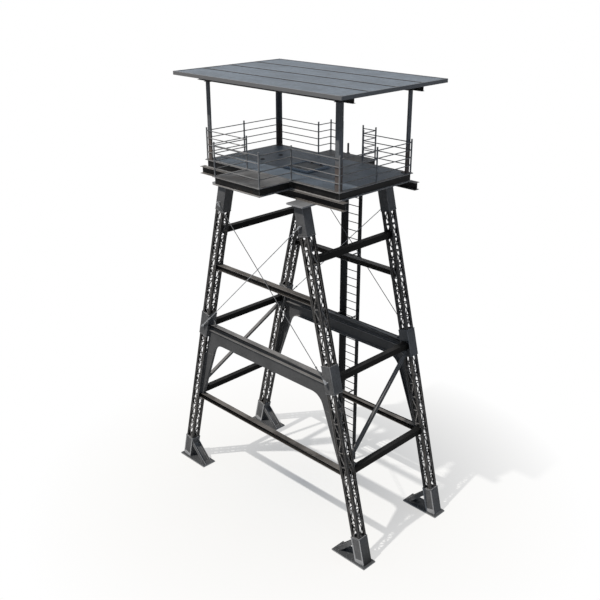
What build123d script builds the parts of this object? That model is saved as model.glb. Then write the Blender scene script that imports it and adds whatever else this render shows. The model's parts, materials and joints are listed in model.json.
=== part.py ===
"""Steel watchtower: a roofed lookout deck on four leaning lattice legs, with a ladder at the back.

Millimetres, +Z up. X runs along the long side of the deck, and -Y is the front, where the
larger balcony is. The origin is on the ground, midway between the four feet.
"""
from math import atan, cos, degrees, radians, sin, tan
import os

from build123d import *

os.makedirs("parts", exist_ok=True)

# Levels above the ground
legTopZ = 11450
upperBeamTopZ = 8560
portalTopZ = 6150
lowerBeamTopZ = 3110

# Legs: lattice box columns that lean along X only
legTopX = 1710
legFootX = 4530
legSize = 340
tubeSize = 80
tubeT = 8
laceT = 8
laceBar = 46
laceInset = 14
upperPanels = 9
lowerPanels = 10

# Sleeves round the legs
headLength = 920
headT = 12
capReachX = 340
capInnerY = 285
capOuterY = 315
capT = 50
kneeSleeveDrop = 450
kneeSleeveRise = 450
kneeSleeveT = 20
footSleeveTopZ = 940
footSleeveT = 20

# Feet
plateInnerX = 1154
plateOuterX = 259
plateInnerY = 282
plateOuterY = 281
plateT = 47
anchorR = 16
anchorInnerInset = 124
anchorOuterInset = 89
anchorInsetY = 76
recessDepth = 10
recessMargin = 45
recessFoot = 135
braceWidth = 300
braceDepth = 140
braceT = 16
braceSlope = 44
braceInset = 44

# Beams between the legs, along X
beamWidth = 215
flangeT = 16
webT = 10
upperBeamDepth = 185
portalDepth = 215
lowerBeamDepth = 170
endPlateT = 12
endPlateLip = 60

# Portal panel and knees under the girder
panelDrop = 475
panelT = 12
panelDepth = 110
kneeTopWidth = 455
kneeFootWidth = 130
haunchR = 500
gussetSize = 300
gussetT = 16

# Struts between the front and back legs
strutSize = 200
strutT = 8
topStrutDrop = 640
middleStrutRise = 35
lowStrutRise = 85
sideBraceSize = 105
sideBraceT = 6
sideBraceFoot = 305
sideBraceHead = 145
sideBraceLip = 70

# Tie rods on the outer faces of the legs
rodR = 13
rodOffset = 95
rodHighRise = 315
rodLowRise = 400
rodInset = 40
clevisLength = 150
clevisWidth = 70
clevisT = 44

# Deck
deckHalfX = 3012.5
deckHalfY = 1680
deckDepth = 260
deckFlange = 130
deckFlangeT = 22
deckWebT = 10
bearerInset = 45
bearerWidth = 210
bearerDepth = 240
bearerReachX = 212.5
legOutset = 250
floorT = 8
joistsPerBay = 2
joistWidth = 90
joistDepth = 160
hatchX = (-350, 710)
hatchY = (-650, 370)
curbHeight = 60
curbWidth = 70
coverDrop = 35
coverT = 8
coverGap = 3
postInset = 63

# Balconies: half width, and how far they reach out from the deck
balconyHalfX = 1060
frontReach = 1300
backReach = 610

# Railings
postSize = 40
postHeight = 1050
railR = 15
railZ = (240, 475, 710, 945)
ladderGap = 450

# Roof and its columns
roofRise = 2836
roofDepth = 115
roofReachX = 611.5
roofReachY = 652
rimT = 8
rimFlange = 60
rimFlangeT = 10
roofPanels = 4
seamGap = 8
ribBays = 4
sheetT = 6
columnInsetX = 185.5
columnInsetY = 157
columnLeg = 160
columnT = 18
columnCap = 240
columnCapT = 16
roofBeamDepth = 200
roofBeamWidth = 120
roofBeamReachX = 523

# Ladder
ladderClear = 70
ladderHalf = 360
stringerSize = 100
stringerT = 8
ladderRise = 320
ladderPostSize = 50
rungPitch = 300
rungR = 15
ductWidth = 170
ductDepth = 70
ductT = 4
standoffWidth = 70
standoffT = 12

# Sizes that follow from the ones above
lean = degrees(atan((legFootX - legTopX) / legTopZ))
legHalf = legSize / 2
legHalfAlongX = legHalf / cos(radians(lean))
headBottomZ = legTopZ - headLength
kneeSleeveZ = (portalTopZ - kneeSleeveDrop, portalTopZ + kneeSleeveRise)
girderBottomZ = portalTopZ - portalDepth
panelBottomZ = girderBottomZ - panelDrop
strutTopZ = (headBottomZ - topStrutDrop, portalTopZ + middleStrutRise, lowerBeamTopZ + lowStrutRise)
rodHighZ = headBottomZ + rodHighRise
rodLowZ = kneeSleeveZ[0] + rodLowRise
deckBottomZ = legTopZ + capT + bearerDepth
deckZ = deckBottomZ + deckDepth
roofTopZ = deckZ + roofRise
roofBottomZ = roofTopZ - roofDepth
columnTopZ = roofBottomZ - roofBeamDepth
bearerY = deckHalfY - bearerInset
bearerHalfX = deckHalfX + bearerReachX
legY = bearerY + legOutset
columnX = deckHalfX - columnInsetX
columnY = deckHalfY - columnInsetY
roofHalfX = deckHalfX + roofReachX
roofHalfY = deckHalfY + roofReachY
postX = deckHalfX - postInset
postY = deckHalfY - postInset
balconyPostX = balconyHalfX - postInset
frontEdge = deckHalfY + frontReach
backEdge = deckHalfY + backReach
ladderY = backEdge + ladderClear
plateX = (legFootX - plateInnerX, legFootX + plateOuterX)
plateY = (legY - plateInnerY, legY + plateOuterY)
anchorX = (plateX[0] + anchorInnerInset, plateX[1] - anchorOuterInset)


def legX(z):
    """Centre of a leg along X at height z."""
    return legFootX - z * tan(radians(lean))


# Stands on the centre line of the front right leg, with local x square to the leg
legPlane = Plane(
    origin=(legFootX, -legY, 0),
    x_dir=(cos(radians(lean)), 0, sin(radians(lean))),
    z_dir=(-sin(radians(lean)), 0, cos(radians(lean))),
)


def legLocal(z):
    """Distance along the leg's centre line from the ground to height z."""
    return z / cos(radians(lean))


def save(piece, name):
    piece.label = name
    export_step(piece, f"parts/{name}.step")


def saveCorners(piece, name):
    """Write a piece of the front right corner at all four corners."""
    for depthName, flipY in (("front", False), ("back", True)):
        for sideName, flipX in (("right", False), ("left", True)):
            placed = mirror(piece, about=Plane.YZ) if flipX else piece
            placed = mirror(placed, about=Plane.XZ) if flipY else placed
            save(placed, f"{name}_{depthName}_{sideName}")


def saveFrontBack(piece, name):
    save(piece, f"{name}_front")
    save(mirror(piece, about=Plane.XZ), f"{name}_back")


def saveLeftRight(piece, name):
    save(piece, f"{name}_right")
    save(mirror(piece, about=Plane.YZ), f"{name}_left")


def beamSection(width, depth, flange, web):
    """I section at the current place in the open sketch."""
    Rectangle(width, depth)
    with GridLocations((width + web) / 2, 0, 2, 1):
        Rectangle((width - web) / 2, depth - 2 * flange, mode=Mode.SUBTRACT)


def lacingSketch(start, length, panels):
    """Lacing of one leg face: a zigzag bar between the tubes with a cross bar at each of its bends."""
    pitch = length / panels
    half = laceBar / 2
    gap = legSize - 2 * tubeSize
    height = pitch - laceBar
    slant = half * (gap**2 + height**2) ** 0.5 / height
    cornerX = gap / 2 - slant
    cornerRise = slant * height / gap
    edges = {side: [(side * gap / 2, start - half)] for side in (-1, 1)}
    for index in range(panels):
        near = 1 if index % 2 == 0 else -1
        low = start + index * pitch + half
        high = low + height
        edges[near] += [(near * gap / 2, low + cornerRise), (-near * cornerX, high), (near * gap / 2, high)]
        edges[-near] += [(-near * gap / 2, low), (near * cornerX, low), (-near * gap / 2, high - cornerRise)]
    for side in (-1, 1):
        edges[side].append((side * gap / 2, start + length + half))
    Polygon(*edges[1], *reversed(edges[-1]), align=None)


# Lattice stretches between the sleeves, measured along the leg
lacingSpans = (
    (legLocal(footSleeveTopZ), legLocal(kneeSleeveZ[0]), lowerPanels),
    (legLocal(kneeSleeveZ[1]), legLocal(headBottomZ), upperPanels),
)

with BuildPart() as cornerTubes:
    with BuildSketch(legPlane.offset(-legSize)):
        with GridLocations(legSize - tubeSize, legSize - tubeSize, 2, 2):
            Rectangle(tubeSize, tubeSize)
            Rectangle(tubeSize - 2 * tubeT, tubeSize - 2 * tubeT, mode=Mode.SUBTRACT)
    extrude(amount=legLocal(legTopZ) + 2 * legSize)
    split(bisect_by=Plane.XY.offset(plateT), keep=Keep.TOP)
    split(bisect_by=Plane.XY.offset(legTopZ), keep=Keep.BOTTOM)

# The lacing stands between the tubes, one strip to a face and stretch
legPieces = cornerTubes.part.solids()
for outward, across in (
    (legPlane.y_dir, legPlane.x_dir),
    (-legPlane.y_dir, -legPlane.x_dir),
    (legPlane.x_dir, -legPlane.y_dir),
    (-legPlane.x_dir, legPlane.y_dir),
):
    lacePlane = Plane(
        origin=legPlane.origin + outward * (legHalf - laceInset),
        x_dir=across,
        z_dir=-outward,
    )
    for start, end, panels in lacingSpans:
        with BuildPart() as lacing:
            with BuildSketch(lacePlane):
                lacingSketch(start, end - start, panels)
            extrude(amount=laceT)
        legPieces += lacing.part.solids()
saveCorners(Compound(legPieces), "leg")


def sleeve(bottomZ, topZ, thickness, mode=Mode.ADD):
    """Square sleeve that closes round the leg, cut square to it."""
    with BuildSketch(legPlane.offset(legLocal(bottomZ))) as ring:
        Rectangle(legSize + 2 * thickness, legSize + 2 * thickness)
        Rectangle(legSize, legSize, mode=Mode.SUBTRACT)
    extrude(ring.sketch, amount=legLocal(topZ) - legLocal(bottomZ), mode=mode)


# Head: sleeve round the top of the leg under the plate that carries the bearer
with BuildPart() as head:
    sleeve(headBottomZ, legTopZ + legHalf, headT)
    split(bisect_by=Plane.XY.offset(legTopZ), keep=Keep.BOTTOM)
    with BuildSketch(Plane.XY.offset(legTopZ)):
        with Locations((legTopX, -legY - (capOuterY - capInnerY) / 2)):
            Rectangle(2 * capReachX, capInnerY + capOuterY)
    extrude(amount=capT)
saveCorners(head.part, "leg_head")

# Knee sleeve, with the gusset that stands on the portal girder
with BuildPart() as kneeSleeve:
    sleeve(kneeSleeveZ[0], kneeSleeveZ[1], kneeSleeveT)
    gussetX = legX(portalTopZ) - (legHalf + kneeSleeveT) / cos(radians(lean))
    gussetTopX = gussetX - gussetSize * tan(radians(lean))
    with BuildSketch(Plane.XZ.offset(legY - gussetT / 2)):
        with BuildLine():
            Polyline(
                (gussetX, portalTopZ),
                (gussetX - gussetSize, portalTopZ),
                (gussetTopX, portalTopZ + gussetSize),
                close=True,
            )
        make_face()
    extrude(amount=gussetT)
saveCorners(kneeSleeve.part, "leg_sleeve")

# Foot: anchored plate, recessed sleeve and the channel brace on its inner side
with BuildPart() as foot:
    slope = tan(radians(braceSlope))
    braceEndX = plateX[0] + braceInset
    braceHeel = braceEndX + braceDepth / sin(radians(braceSlope))
    braceWeb = braceHeel - braceT / sin(radians(braceSlope))
    braceTopX = legX(footSleeveTopZ)
    with BuildSketch(Plane.XZ.offset(legY - braceWidth / 2)) as braceSide:
        Polygon(
            (braceEndX, plateT),
            (braceHeel, plateT),
            (braceTopX, plateT + (braceTopX - braceHeel) * slope),
            (braceTopX, plateT + (braceTopX - braceEndX) * slope),
            align=None,
        )
    extrude(amount=braceWidth)
    with BuildSketch(Plane.XZ.offset(legY - braceWidth / 2 + braceT)) as braceHollow:
        Polygon(
            (braceEndX, plateT),
            (braceWeb, plateT),
            (braceTopX, plateT + (braceTopX - braceWeb) * slope),
            (braceTopX, plateT + (braceTopX - braceEndX) * slope),
            align=None,
        )
    extrude(amount=braceWidth - 2 * braceT, mode=Mode.SUBTRACT)
    with BuildSketch(legPlane.offset(-legSize)) as legSpace:
        Rectangle(legSize, legSize)
    extrude(amount=2 * legLocal(footSleeveTopZ), mode=Mode.SUBTRACT)
    sleeve(-legHalf, footSleeveTopZ, footSleeveT)
    for side in (-1, 1):
        panelPlane = Plane(
            origin=legPlane.origin + legPlane.y_dir * side * (legHalf + footSleeveT),
            x_dir=legPlane.x_dir,
            z_dir=-legPlane.y_dir * side,
        )
        panelTop = legLocal(footSleeveTopZ) - recessMargin
        panelBottom = legLocal(plateT) + recessFoot
        with BuildSketch(panelPlane) as recess:
            with Locations((0, side * (panelTop + panelBottom) / 2)):
                Rectangle(legSize + 2 * footSleeveT - 2 * recessMargin, panelTop - panelBottom)
        extrude(amount=recessDepth, mode=Mode.SUBTRACT)
    split(bisect_by=Plane.XY.offset(plateT), keep=Keep.TOP)
    with BuildSketch() as plate:
        with Locations((sum(plateX) / 2, -sum(plateY) / 2)):
            Rectangle(plateX[1] - plateX[0], plateY[1] - plateY[0])
        with Locations((sum(anchorX) / 2, -sum(plateY) / 2)):
            with GridLocations(anchorX[1] - anchorX[0], plateY[1] - plateY[0] - 2 * anchorInsetY, 2, 2):
                Circle(anchorR, mode=Mode.SUBTRACT)
    extrude(amount=plateT)
saveCorners(foot.part, "foot")


def legFace(clear, side):
    """Inner face plane of a front leg, or of its sleeve, with the normal towards x = 0."""
    return Plane(
        origin=(side * (legFootX - (legHalf + clear) / cos(radians(lean))), -legY, 0),
        x_dir=(0, 1, 0),
        z_dir=(-side * cos(radians(lean)), 0, -sin(radians(lean))),
    )


def crossBeam(topZ, depth, clear):
    """I beam along X between two front legs, with an end plate against each."""
    with BuildSketch(Plane.YZ.offset(-legFootX)) as profile:
        with Locations((-legY, topZ - depth / 2)):
            beamSection(beamWidth, depth, flangeT, webT)
    extrude(profile.sketch, amount=2 * legFootX)
    for side in (-1, 1):
        face = legFace(clear, side)
        split(bisect_by=face, keep=Keep.TOP)
        alongFace = (topZ - depth / 2) / cos(radians(lean))
        with BuildSketch(face) as endPlate:
            with Locations((0, -side * alongFace)):
                Rectangle(legSize, depth + 2 * endPlateLip)
        extrude(endPlate.sketch, amount=endPlateT)


with BuildPart() as upperBeam:
    crossBeam(upperBeamTopZ, upperBeamDepth, 0)
saveFrontBack(upperBeam.part, "upper_beam")

with BuildPart() as lowerBeam:
    crossBeam(lowerBeamTopZ, lowerBeamDepth, 0)
    split(bisect_by=Plane.XY.offset(lowerBeamTopZ), keep=Keep.BOTTOM)
saveFrontBack(lowerBeam.part, "lower_beam")


def portalOutline(shift):
    """Half of the portal panel with its knee, its inner edge moved into the plate by shift."""
    kneeTopX = legX(panelBottomZ) - legHalfAlongX - kneeTopWidth
    kneeFootX = legX(lowerBeamTopZ) - legHalfAlongX - kneeFootWidth
    kneeShift = shift / cos(atan((kneeFootX - kneeTopX) / (panelBottomZ - lowerBeamTopZ)))
    kneeSpread = shift * (kneeFootX - kneeTopX) / (panelBottomZ - lowerBeamTopZ)
    with BuildSketch(Plane.XZ.offset(legY - panelDepth / 2)) as outline:
        with BuildLine():
            FilletPolyline(
                (0, panelBottomZ + shift),
                (kneeTopX + kneeShift - kneeSpread, panelBottomZ + shift),
                (kneeFootX + kneeShift, lowerBeamTopZ),
                radius=haunchR + shift,
            )
            Polyline(
                (kneeFootX + kneeShift, lowerBeamTopZ),
                (legFootX, lowerBeamTopZ),
                (legFootX, girderBottomZ),
                (0, girderBottomZ),
                (0, panelBottomZ + shift),
            )
        make_face()
    return outline.sketch


def portalPanel():
    """Channel-shaped panel under the girder, running down both legs as knees."""
    extrude(portalOutline(0), amount=panelDepth)
    extrude(portalOutline(panelT), amount=panelDepth - panelT, mode=Mode.SUBTRACT)
    with BuildSketch(legFace(0, 1)) as legStrip:
        with Locations((0, -legLocal(panelBottomZ))):
            Rectangle(legSize, 2 * legLocal(panelBottomZ - lowerBeamTopZ))
    extrude(legStrip.sketch, amount=endPlateT)
    split(bisect_by=legFace(0, 1), keep=Keep.TOP)
    sleeve(kneeSleeveZ[0], kneeSleeveZ[1], kneeSleeveT, mode=Mode.SUBTRACT)
    split(bisect_by=Plane.XY.offset(lowerBeamTopZ), keep=Keep.TOP)


# Knees run from the haunch down to the lower beam
kneeSplitZ = panelBottomZ - haunchR
with BuildPart() as knee:
    portalPanel()
    split(bisect_by=Plane.XY.offset(kneeSplitZ), keep=Keep.BOTTOM)
saveCorners(knee.part, "knee")

with BuildPart() as portal:
    portalPanel()
    split(bisect_by=Plane.XY.offset(kneeSplitZ), keep=Keep.TOP)
    split(bisect_by=Plane.XY.offset(girderBottomZ), keep=Keep.BOTTOM)
    mirror(about=Plane.YZ)
    crossBeam(portalTopZ, portalDepth, kneeSleeveT)
    split(bisect_by=Plane.XY.offset(portalTopZ), keep=Keep.BOTTOM)
saveFrontBack(portal.part, "portal_girder")


def strutClear(topZ):
    """Clearance round the leg where a strut meets it: the sleeve's wall, or nothing."""
    return kneeSleeveT if kneeSleeveZ[0] < topZ < kneeSleeveZ[1] else 0


# Square hollow struts between the front and back legs, with end plates
for levelName, topZ in zip(("top", "middle", "low"), strutTopZ):
    with BuildPart() as strut:
        strutEndY = legY - legHalf - strutClear(topZ)
        strutZ = topZ - strutSize / 2
        with BuildSketch(Plane.XZ.offset(-strutEndY)) as strutProfile:
            with Locations((legX(strutZ), strutZ)):
                Rectangle(strutSize, strutSize)
                Rectangle(strutSize - 2 * strutT, strutSize - 2 * strutT, mode=Mode.SUBTRACT)
        extrude(amount=2 * strutEndY)
        for endY in (-strutEndY, strutEndY - endPlateT):
            with BuildSketch(Plane.XZ.offset(endY)) as strutEnd:
                with Locations(Location((legX(strutZ), strutZ), lean)):
                    Rectangle(legSize, strutSize + 2 * endPlateLip)
            extrude(amount=endPlateT)
    saveLeftRight(strut.part, f"side_strut_{levelName}")

# Diagonal tube from the front leg to the knee sleeve of the back leg, with an end plate on
# each, and a gusset between each plate and the strut beside it
with BuildPart() as sideBrace:
    sidePlane = Plane(
        origin=(legFootX, 0, 0),
        x_dir=(0, 1, 0),
        z_dir=(cos(radians(lean)), 0, sin(radians(lean))),
    )
    braceLow = Vector(-legY + legHalf + endPlateT, legLocal(strutTopZ[2] + sideBraceFoot))
    braceHigh = Vector(
        legY - legHalf - kneeSleeveT - endPlateT,
        legLocal(strutTopZ[1] - strutSize - sideBraceHead),
    )
    braceSlant = cos(atan((braceHigh.Y - braceLow.Y) / (braceHigh.X - braceLow.X)))
    with BuildSketch(sidePlane.offset(-gussetT / 2)):
        strutTopLocal = legLocal(strutTopZ[2])
        strutBottomLocal = legLocal(strutTopZ[1] - strutSize)
        Polygon(
            (braceLow.X, strutTopLocal),
            (braceLow.X + gussetSize, strutTopLocal),
            (braceLow.X, strutTopLocal + gussetSize),
            align=None,
        )
        Polygon(
            (braceHigh.X, strutBottomLocal),
            (braceHigh.X - gussetSize, strutBottomLocal),
            (braceHigh.X, strutBottomLocal - gussetSize),
            align=None,
        )
    extrude(amount=gussetT)
    for size, mode in ((sideBraceSize, Mode.ADD), (sideBraceSize - 2 * sideBraceT, Mode.SUBTRACT)):
        with BuildSketch(sidePlane.offset(-size / 2)) as braceSideFace:
            rise = Vector(0, size / 2 / braceSlant)
            Polygon(
                *[(corner.X, corner.Y) for corner in (braceLow - rise, braceHigh - rise)],
                *[(corner.X, corner.Y) for corner in (braceHigh + rise, braceLow + rise)],
                align=None,
            )
        extrude(braceSideFace.sketch, amount=size, mode=mode)
    plateReach = sideBraceSize / 2 + sideBraceLip
    for plateStartY, plateLowZ, plateHighZ in (
        (braceLow.X - endPlateT, strutTopZ[2] + endPlateLip, strutTopZ[2] + sideBraceFoot + plateReach),
        (
            braceHigh.X,
            strutTopZ[1] - strutSize - sideBraceHead - plateReach,
            strutTopZ[1] - strutSize - endPlateLip,
        ),
    ):
        plateMidZ = (plateLowZ + plateHighZ) / 2
        with BuildSketch(Plane.XZ.offset(-plateStartY)) as bracePlate:
            with Locations(Location((legX(plateMidZ), plateMidZ), lean)):
                Rectangle(legSize, legLocal(plateHighZ - plateLowZ))
        extrude(bracePlate.sketch, amount=-endPlateT)
    split(bisect_by=Plane.XY.offset(strutTopZ[2]), keep=Keep.TOP)
    split(bisect_by=Plane.XY.offset(strutTopZ[1] - strutSize), keep=Keep.BOTTOM)
saveLeftRight(sideBrace.part, "side_brace")


def tieRod(side, rodY):
    """Hexagonal rod with a forked end pinned to the head and to the far knee sleeve."""
    highX = legX(rodHighZ)
    lowX = legX(rodLowZ)
    run = Vector(-side * (highX + lowX), 0, rodLowZ - rodHighZ)
    along = run.normalized()
    rodPlane = Plane(
        origin=(side * highX, rodY, rodHighZ),
        x_dir=(0, 1, 0),
        z_dir=along,
    )
    with BuildSketch(rodPlane.offset(clevisLength / 2)) as rodProfile:
        RegularPolygon(rodR, 6)
    extrude(rodProfile.sketch, amount=run.length - clevisLength)
    for start in (-clevisWidth / 2, run.length + clevisWidth / 2 - clevisLength):
        with BuildSketch(rodPlane.offset(start)) as clevis:
            Rectangle(clevisT, clevisWidth)
        extrude(clevis.sketch, amount=clevisLength)
    for pinX, pinZ, wall in (
        (side * highX, rodHighZ, legHalf + headT),
        (-side * lowX, rodLowZ, legHalf + kneeSleeveT),
    ):
        with BuildSketch(Plane.XZ.offset(legY + wall)) as pin:
            with Locations((pinX, pinZ)):
                RegularPolygon(clevisWidth / 2 - rodR, 6)
        extrude(pin.sketch, amount=-rodY - legY - wall)


# The two rods of a frame cross with one in front of the other
with BuildPart() as tieRods:
    tieRod(1, -(legY + legHalf + rodOffset - rodInset / 2))
    tieRod(-1, -(legY + legHalf + rodOffset + rodInset / 2))
saveFrontBack(tieRods.part, "tie_rods")

# Bearers under the deck
with BuildPart() as bearer:
    with BuildSketch(Plane.YZ.offset(-bearerHalfX)) as bearerProfile:
        with Locations((-bearerY, deckBottomZ - bearerDepth / 2)):
            beamSection(bearerWidth, bearerDepth, flangeT, webT)
    extrude(amount=2 * bearerHalfX)
saveFrontBack(bearer.part, "bearer")


def joist(start, end, topZ):
    """Small I beam between two points on plan."""
    run = Vector(end[0] - start[0], end[1] - start[1], 0)
    joistPlane = Plane(
        origin=(start[0], start[1], topZ - joistDepth / 2),
        x_dir=run.normalized().cross(Vector(0, 0, 1)),
        z_dir=run,
    )
    with BuildSketch(joistPlane) as profile:
        beamSection(joistWidth, joistDepth, deckWebT, deckWebT)
    extrude(profile.sketch, amount=run.length)


# Deck frame: an I beam all round, with joists across it and trimmers at the hatch
flangeOverhang = (deckFlange - deckWebT) / 2
joistTopZ = deckZ - floorT
joistReachY = deckHalfY - flangeOverhang - deckWebT / 2
hatchJoistX = (hatchX[0] - joistWidth / 2, hatchX[1] + joistWidth / 2)
deckInnerX = deckHalfX - deckFlange
with BuildPart() as deckFrame:
    with BuildSketch(Plane.XY.offset(deckBottomZ)):
        Rectangle(2 * deckHalfX, 2 * deckHalfY)
        Rectangle(2 * (deckHalfX - deckFlange), 2 * (deckHalfY - deckFlange), mode=Mode.SUBTRACT)
    extrude(amount=deckDepth)
    for outerInset in (0, flangeOverhang + deckWebT):
        with BuildSketch(Plane.XY.offset(deckBottomZ + deckFlangeT)):
            Rectangle(2 * (deckHalfX - outerInset), 2 * (deckHalfY - outerInset))
            innerInset = outerInset + flangeOverhang
            Rectangle(2 * (deckHalfX - innerInset), 2 * (deckHalfY - innerInset), mode=Mode.SUBTRACT)
        extrude(amount=deckDepth - 2 * deckFlangeT, mode=Mode.SUBTRACT)
    for index in range(joistsPerBay):
        share = (index + 1) / (joistsPerBay + 1)
        leftX = -deckInnerX + share * (hatchJoistX[0] + deckInnerX)
        rightX = deckInnerX - share * (deckInnerX - hatchJoistX[1])
        for joistX in (leftX, rightX):
            joist((joistX, -joistReachY), (joistX, joistReachY), joistTopZ)
    for joistX in hatchJoistX:
        joist((joistX, -joistReachY), (joistX, joistReachY), joistTopZ)
    for trimmerY in (hatchY[0] - joistWidth / 2, hatchY[1] + joistWidth / 2):
        joist((hatchJoistX[0], trimmerY), (hatchJoistX[1], trimmerY), joistTopZ)
save(deckFrame.part, "deck_frame")

with BuildPart() as deckFloor:
    with BuildSketch(Plane.XY.offset(joistTopZ)):
        Rectangle(2 * deckInnerX, 2 * (deckHalfY - deckFlange))
        with Locations((sum(hatchX) / 2, sum(hatchY) / 2)):
            Rectangle(
                hatchX[1] - hatchX[0] - 2 * curbWidth,
                hatchY[1] - hatchY[0] - 2 * curbWidth,
                mode=Mode.SUBTRACT,
            )
    extrude(amount=floorT)
save(deckFloor.part, "deck_floor")

# Hatch: raised curb with a ledge inside, and a cover set down in it
with BuildPart() as hatchCurb:
    with BuildSketch(Plane.XY.offset(deckZ)):
        with Locations((sum(hatchX) / 2, sum(hatchY) / 2)):
            Rectangle(hatchX[1] - hatchX[0], hatchY[1] - hatchY[0])
            Rectangle(
                hatchX[1] - hatchX[0] - 2 * curbWidth,
                hatchY[1] - hatchY[0] - 2 * curbWidth,
                mode=Mode.SUBTRACT,
            )
    extrude(amount=curbHeight)
    with BuildSketch(Plane.XY.offset(deckZ + curbHeight - coverDrop)):
        with Locations((sum(hatchX) / 2, sum(hatchY) / 2)):
            Rectangle(
                hatchX[1] - hatchX[0] - curbWidth,
                hatchY[1] - hatchY[0] - curbWidth,
            )
    extrude(amount=coverDrop, mode=Mode.SUBTRACT)
save(hatchCurb.part, "hatch_curb")

with BuildPart() as hatchCover:
    with BuildSketch(Plane.XY.offset(deckZ + curbHeight - coverDrop)):
        with Locations((sum(hatchX) / 2, sum(hatchY) / 2)):
            Rectangle(
                hatchX[1] - hatchX[0] - curbWidth - 2 * coverGap,
                hatchY[1] - hatchY[0] - curbWidth - 2 * coverGap,
            )
    extrude(amount=coverT)
save(hatchCover.part, "hatch_cover")


def baySketch(z, reach, inset):
    """Plan of a balcony that stands out at -Y, drawn inset on its three free sides."""
    with BuildSketch(Plane.XY.offset(z)) as bay:
        with Locations((0, -deckHalfY - (reach - inset) / 2)):
            Rectangle(2 * (balconyHalfX - inset), reach - inset)
    return bay.sketch


def balconyFrame(reach):
    """I beam round three sides of a balcony, with two joists from the deck."""
    extrude(baySketch(deckBottomZ, reach, 0), amount=deckDepth)
    grooveZ = deckBottomZ + deckFlangeT
    grooveDepth = deckDepth - 2 * deckFlangeT
    extrude(baySketch(grooveZ, reach, 0), amount=grooveDepth, mode=Mode.SUBTRACT)
    extrude(baySketch(grooveZ, reach, flangeOverhang), amount=grooveDepth)
    webInner = flangeOverhang + deckWebT
    extrude(baySketch(grooveZ, reach, webInner), amount=grooveDepth, mode=Mode.SUBTRACT)
    extrude(baySketch(deckBottomZ, reach, deckFlange), amount=deckDepth, mode=Mode.SUBTRACT)
    for index in range(joistsPerBay):
        joistX = balconyHalfX * (2 * (index + 1) / (joistsPerBay + 1) - 1)
        joist((joistX, -deckHalfY), (joistX, -deckHalfY - reach + webInner), joistTopZ)


with BuildPart() as frontBalcony:
    balconyFrame(frontReach)
    extrude(baySketch(joistTopZ, frontReach, deckFlange), amount=floorT)
save(frontBalcony.part, "balcony_front")

with BuildPart() as backBalcony:
    balconyFrame(backReach)
    extrude(baySketch(joistTopZ, backReach, deckFlange), amount=floorT)
save(mirror(backBalcony.part, about=Plane.XZ), "balcony_back")


def post(x, y):
    with BuildPart() as piece:
        with BuildSketch(Plane.XY.offset(deckZ)):
            with Locations((x, y)):
                Rectangle(postSize, postSize)
        extrude(amount=postHeight)
    return piece.part


def rails(start, end):
    """The horizontal rods between two points on plan."""
    run = Vector(end[0] - start[0], end[1] - start[1], 0)
    rods = []
    for z in railZ:
        railPlane = Plane(
            origin=(start[0], start[1], deckZ + z),
            x_dir=(0, 0, 1),
            z_dir=run,
        )
        with BuildPart() as rod:
            with BuildSketch(railPlane):
                RegularPolygon(railR, 6)
            extrude(amount=run.length)
        rods.append(rod.part)
    return rods


def bothSides(pieces):
    """The pieces on the right, with their mirror images on the left."""
    return pieces + [mirror(piece, about=Plane.YZ) for piece in pieces]


postHalf = postSize / 2

# End railings, with the corner posts
endRailing = [post(postX, y) for y in (-postY, 0, postY)]
endRailing += rails((postX, -postY + postHalf), (postX, -postHalf))
endRailing += rails((postX, postHalf), (postX, postY - postHalf))
saveLeftRight(Compound(endRailing), "railing_end")

# Railings of the long sides, from a corner post to the balcony's inner post
sideRailing = [post(balconyPostX, -postY)]
sideRailing += rails((balconyPostX + postHalf, -postY), (postX - postHalf, -postY))
saveFrontBack(Compound(bothSides(sideRailing)), "railing")

# Railing round the front balcony
frontPostY = frontEdge - postInset
frontRailing = [post(balconyPostX, -frontPostY)]
frontRailing += rails((balconyPostX, -postY - postHalf), (balconyPostX, -frontPostY + postHalf))
frontRailing = bothSides(frontRailing)
frontRailing += rails((-balconyPostX + postHalf, -frontPostY), (balconyPostX - postHalf, -frontPostY))
save(Compound(frontRailing), "railing_balcony_front")

# Railing of the back balcony, open in the middle for the ladder
backPostY = backEdge - postInset
backRailing = [post(balconyPostX, backPostY), post(ladderGap, backPostY)]
backRailing += rails((balconyPostX, postY + postHalf), (balconyPostX, backPostY - postHalf))
backRailing += rails((ladderGap + postHalf, backPostY), (balconyPostX - postHalf, backPostY))
save(Compound(bothSides(backRailing)), "railing_balcony_back")

# Roof columns: angles with their corner outwards, under a square cap plate
with BuildPart() as column:
    with BuildSketch(Plane.XY.offset(deckZ)):
        with Locations((columnX, -columnY)):
            Rectangle(columnLeg, columnLeg)
        with Locations((columnX - columnT / 2, -columnY + columnT / 2)):
            Rectangle(columnLeg - columnT, columnLeg - columnT, mode=Mode.SUBTRACT)
    extrude(amount=columnTopZ - columnCapT - deckZ)
    with BuildSketch(Plane.XY.offset(columnTopZ - columnCapT)):
        with Locations((columnX, -columnY)):
            Rectangle(columnCap, columnCap)
    extrude(amount=columnCapT)
saveCorners(column.part, "roof_column")

with BuildPart() as roofBeams:
    roofBeamHalfX = columnX + roofBeamReachX
    with BuildSketch(Plane.YZ.offset(-roofBeamHalfX)):
        with Locations((-columnY, columnTopZ + roofBeamDepth / 2)):
            beamSection(roofBeamWidth, roofBeamDepth, deckWebT, deckWebT)
    extrude(amount=2 * roofBeamHalfX)
    mirror(about=Plane.XZ)
save(roofBeams.part, "roof_beams")

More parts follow.
